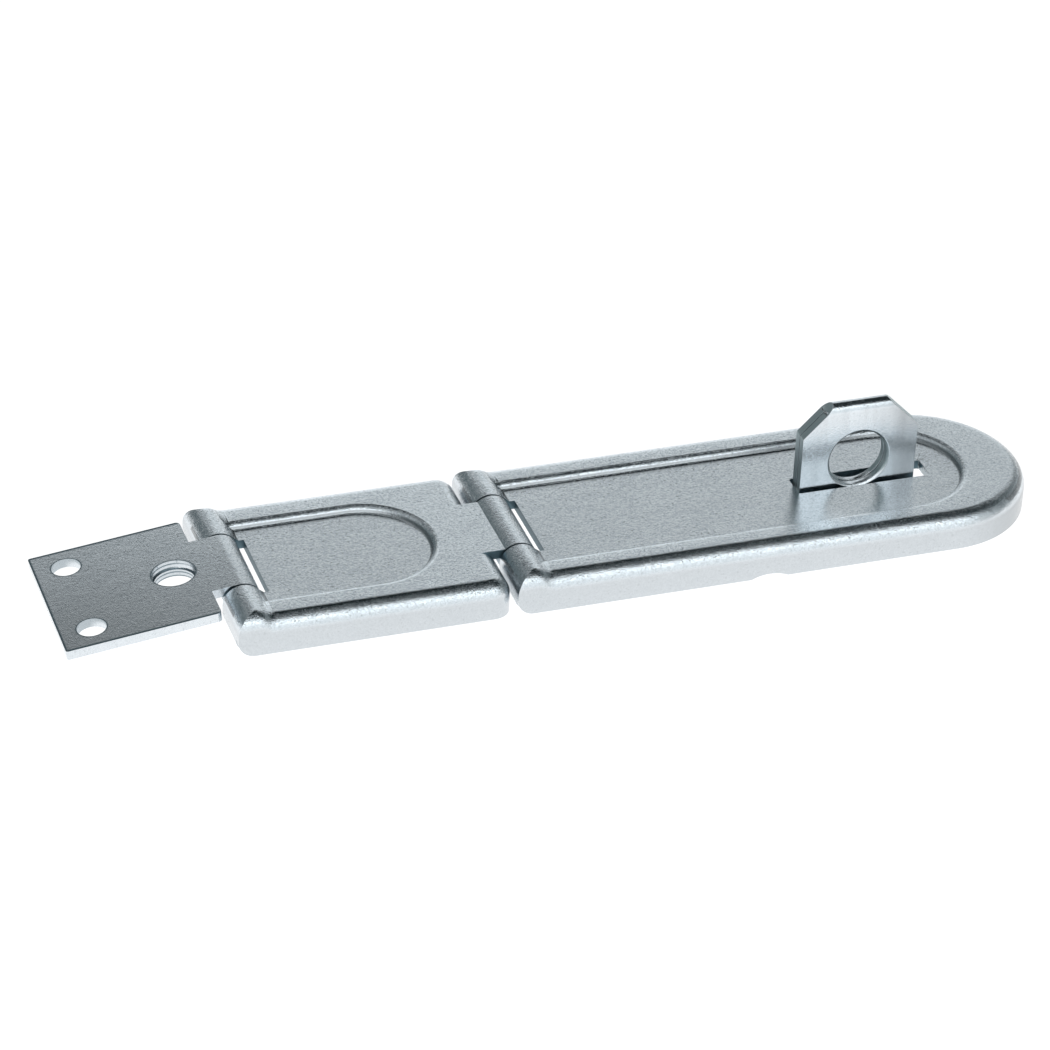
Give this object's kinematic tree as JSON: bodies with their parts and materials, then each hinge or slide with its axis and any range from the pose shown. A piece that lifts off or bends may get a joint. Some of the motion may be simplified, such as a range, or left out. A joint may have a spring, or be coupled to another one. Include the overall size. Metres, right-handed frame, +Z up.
{
  "type": "double-jointed hasp and staple",
  "caption": "Heavy duty pressed steel hasp with a hinged fixing plate, a jointed middle leaf, a round-ended slotted leaf and its doubled staple for a padlock.",
  "frame": {"origin": "on the surface the hasp lies on, under the middle of its overall length and width", "axes": "+X along the hasp towards the round end, +Y across it, +Z up out of the surface"},
  "size_m": [0.2106, 0.045, 0.0255],
  "materials": {
    "zinc_plated_sheet": "bright zinc plating over rolled sheet with a fine grain",
    "pin_steel": "plain drawn wire"
  },
  "bodies": {
    "long_body": {"long_leaf": "zinc_plated_sheet", "staple": "zinc_plated_sheet", "leaf_hinge_pin": "pin_steel"},
    "middle_body": {"middle_leaf": "zinc_plated_sheet", "plate_hinge_pin": "pin_steel"},
    "plate_body": {"fixing_plate": "zinc_plated_sheet"}
  },
  "joints": [
    {"name": "leaf_hinge", "type": "hinge", "parent": "long_body", "child": "middle_body", "pos_m": [-0.00944, 0, 0.00455], "axis": [0, 1, 0], "range_deg": [-15, 110]},
    {"name": "plate_hinge", "type": "hinge", "parent": "middle_body", "child": "plate_body", "pos_m": [-0.06754, 0, 0.00455], "axis": [0, 1, 0], "range_deg": [-173, 105]}
  ]
}
